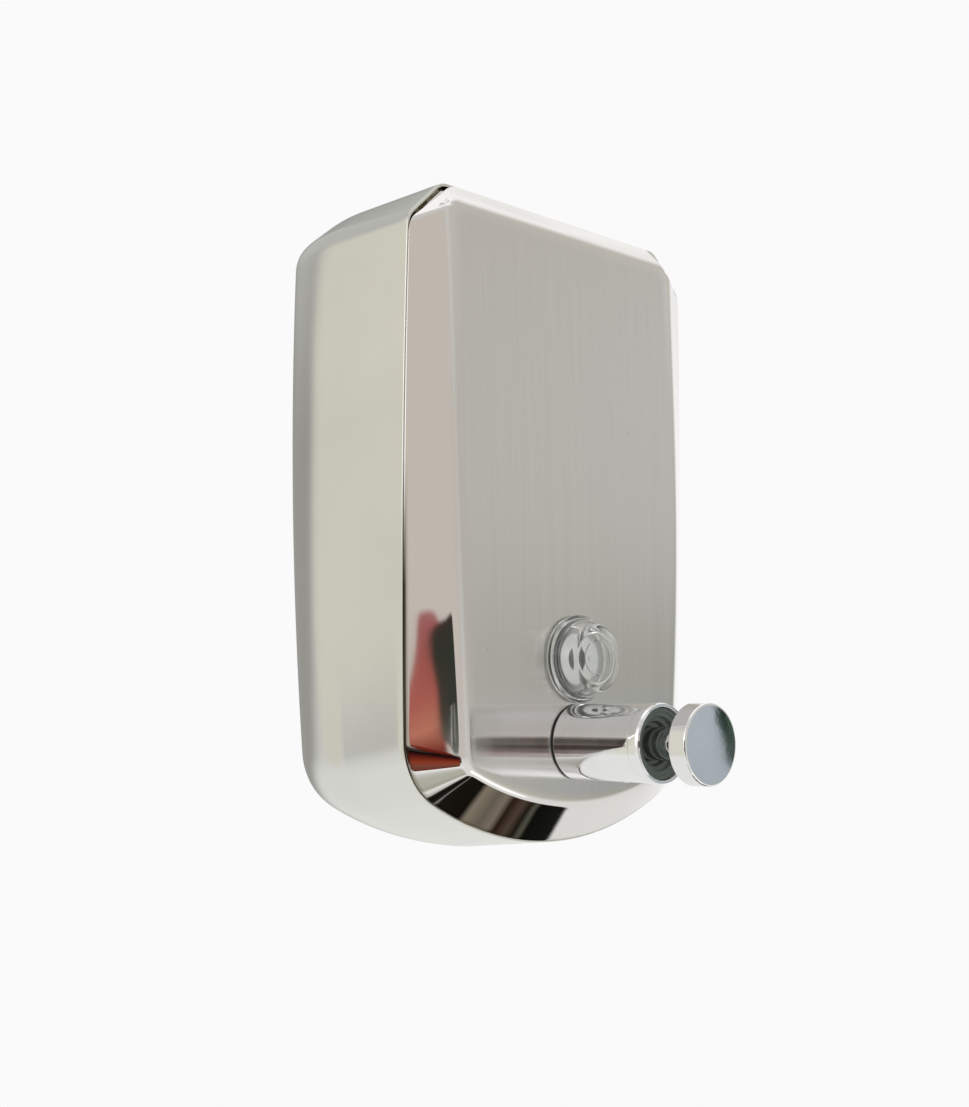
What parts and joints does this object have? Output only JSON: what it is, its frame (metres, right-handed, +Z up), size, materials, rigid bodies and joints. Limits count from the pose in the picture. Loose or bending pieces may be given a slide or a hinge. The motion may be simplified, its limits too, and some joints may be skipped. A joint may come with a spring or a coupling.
{
  "type": "liquid soap dispenser",
  "caption": "Wall-hung liquid soap dispenser with a drawn steel tank, bevelled front, domed sight glass, lockable filler lid and a push pump with a spring return",
  "frame": {"origin": "centre of the wall plate's screw pattern, on the wall", "axes": "X to the right as seen by the user, Z up, -Y out of the wall towards the user"},
  "size_m": [0.1324, 0.1311, 0.2132],
  "materials": {
    "shell_steel": "polished",
    "cover_steel": "satin panel, polished bevels",
    "plate_steel": "satin",
    "bright_steel": "bright",
    "bright_chrome": "polished",
    "clear_acrylic": "clear",
    "dark_plastic": "moulded",
    "white_plastic": "moulded",
    "black_rubber": "matte"
  },
  "bodies": {
    "wall_mount": {"wall_plate": "plate_steel"},
    "tank": {"rear_shell": "shell_steel", "front_cover": "cover_steel", "hanger_plate": "plate_steel", "wall_bumpers": "black_rubber", "hinge_leaf": "plate_steel", "hinge_pin": "bright_steel", "sight_glass": "clear_acrylic", "sight_gasket": "black_rubber", "sight_nut": "white_plastic", "pump_barrel": "bright_chrome", "barrel_gasket": "black_rubber", "pump_gasket": "black_rubber", "pump_nut": "dark_plastic", "barrel_ring": "bright_chrome", "stem_guide": "dark_plastic", "stem_seal": "black_rubber", "inlet_elbow": "white_plastic", "suction_tube": "white_plastic", "outlet_nozzle": "bright_chrome", "return_spring": "bright_steel"},
    "lid": {"filler_lid": "plate_steel", "lid_gasket": "black_rubber", "lock_barrel": "bright_chrome", "lock_nut": "bright_steel"},
    "lock_core": {"lock_plug": "bright_chrome", "lock_cam": "plate_steel", "cam_screw": "bright_steel"},
    "plunger": {"push_button": "bright_chrome", "plunger_rod": "bright_steel", "spring_washer": "bright_steel", "piston": "white_plastic", "piston_seal": "black_rubber"},
    "outlet_check": {"outlet_ball": "bright_steel"},
    "inlet_check": {"inlet_ball": "bright_steel"}
  },
  "joints": [
    {"name": "tank_lift", "type": "slide", "parent": "wall_mount", "child": "tank", "axis": [0, 0, 1], "range_m": [0, 0.008]},
    {"name": "lid_open", "type": "hinge", "parent": "tank", "child": "lid", "pos_m": [0, -0.0205, 0.0895], "axis": [-1, 0, 0], "range_deg": [0, 90]},
    {"name": "lock_turn", "type": "hinge", "parent": "lid", "child": "lock_core", "pos_m": [0, -0.0445, 0.089], "axis": [0, 0, -1], "range_deg": [0, 90]},
    {"name": "button_push", "type": "slide", "parent": "tank", "child": "plunger", "axis": [0, 1, 0], "range_m": [0, 0.01], "stiffness_N_per_m": 900, "springref_m": -0.003, "deforming": ["return_spring"]},
    {"name": "outlet_ball_open", "type": "slide", "parent": "plunger", "child": "outlet_check", "axis": [0, -1, 0], "range_m": [0, 0.0015]},
    {"name": "inlet_ball_rise", "type": "slide", "parent": "tank", "child": "inlet_check", "axis": [0, 0, 1], "range_m": [0, 0.002]}
  ]
}
